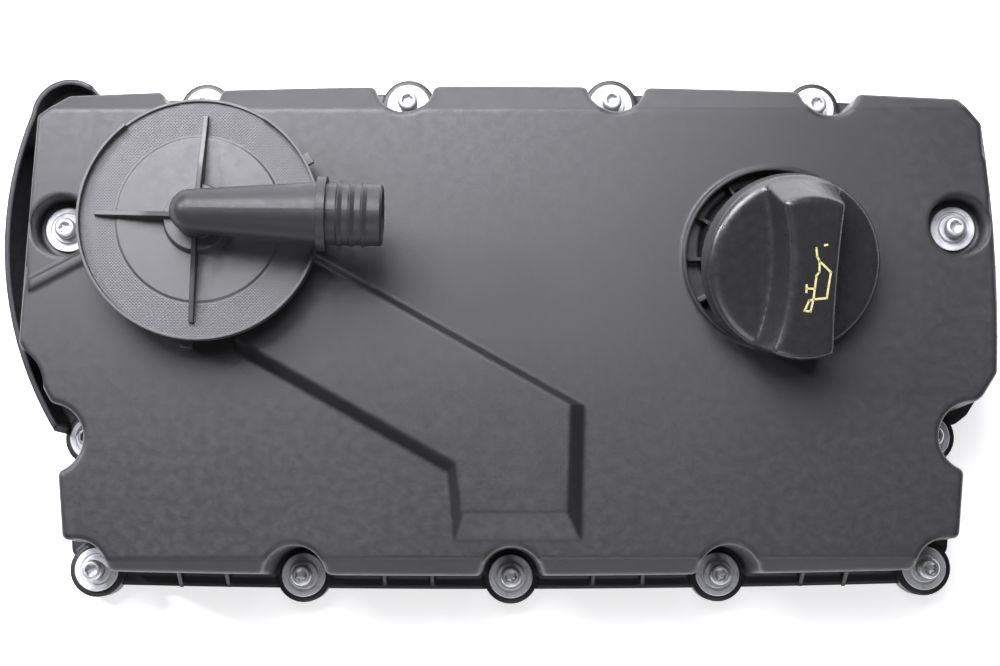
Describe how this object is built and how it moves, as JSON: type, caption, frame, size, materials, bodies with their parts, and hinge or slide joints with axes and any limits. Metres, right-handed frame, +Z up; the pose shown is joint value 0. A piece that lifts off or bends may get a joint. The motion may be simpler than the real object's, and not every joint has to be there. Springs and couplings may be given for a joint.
{
  "type": "engine valve cover",
  "caption": "Moulded plastic engine valve cover with captive flange bolts, a round breather with a hose spout, a raised channel and a twist-off oil filler cap.",
  "frame": {"origin": "centre of the bolt layout on the joint face, where the cover meets the cylinder head", "axes": "+X along the row of cylinders, from the breather towards the oil filler; +Y towards the rear row of bolts; +Z up, away from the cylinder head"},
  "size_m": [0.4177, 0.2267, 0.1176],
  "materials": {
    "shell": "satin moulded, finely grained",
    "separator": "plain moulded",
    "gasket": "matt",
    "grommet": "matt",
    "sleeve": "plain turned",
    "washer": "bright zinc plate",
    "bolt": "bright zinc plate",
    "lid": "satin moulded, finely lined",
    "diaphragm": "matt",
    "valve_plate": "plain moulded",
    "spring": "drawn wire",
    "cap": "satin moulded",
    "cap_core": "plain moulded",
    "seal": "matt"
  },
  "bodies": {
    "cover": {"cover_shell": "shell", "cover_gasket": "gasket", "separator_plate": "separator", "bolt_sleeves": "sleeve", "bolt_grommets": "grommet", "bolt_washers": "washer", "flange_bolts": "bolt", "pocket_bolts": "bolt", "breather_lid": "lid", "breather_diaphragm": "diaphragm", "breather_spring": "spring"},
    "breather_valve": {"breather_plate": "valve_plate"},
    "filler_seal": {"filler_cap_seal": "seal"},
    "filler_cap": {"filler_cap": "cap", "filler_cap_core": "cap_core"}
  },
  "joints": [
    {"name": "breather_valve_lift", "type": "slide", "parent": "cover", "child": "breather_valve", "axis": [0, 0, 1], "range_m": [0, 0.0034], "stiffness_N_per_m": 100, "deforming": ["breather_spring", "breather_diaphragm"]},
    {"name": "filler_cap_lift", "type": "slide", "parent": "cover", "child": "filler_seal", "axis": [0.1867, -0.2667, 0.9455], "range_m": [0, 0.045]},
    {"name": "filler_cap_turn", "type": "hinge", "parent": "filler_seal", "child": "filler_cap", "pos_m": [0.1077, 0.0287, 0.06], "axis": [0.1867, -0.2667, 0.9455], "range_deg": [-60, 0]}
  ]
}
